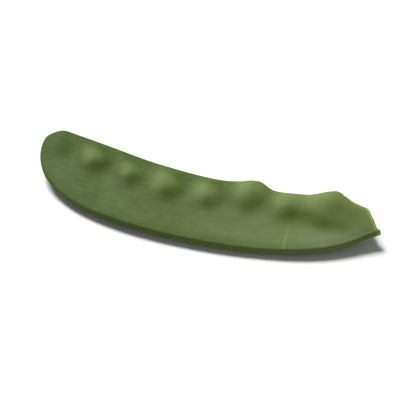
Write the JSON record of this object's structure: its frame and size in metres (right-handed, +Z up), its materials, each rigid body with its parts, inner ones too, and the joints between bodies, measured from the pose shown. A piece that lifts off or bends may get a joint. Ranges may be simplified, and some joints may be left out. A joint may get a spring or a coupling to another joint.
{
  "type": "snow pea pod",
  "caption": "Flat edible pea pod lying on its side, with a rounded tip, a row of low pea bumps near its back seam and a snapped stalk end.",
  "frame": {"origin": "on the surface the pod lies on, under the middle of the pod's box", "axes": "+X along the pod from the rounded tip to the snapped stalk end, +Y from the curved belly seam to the back seam where the peas hang, +Z up from the surface"},
  "size_m": [0.08, 0.0246, 0.0072],
  "materials": {
    "pod_skin": "satin waxy plant skin, deeper green over the peas and dark along the belly seam"
  },
  "bodies": {
    "root": {"pod": "pod_skin"}
  },
  "joints": []
}
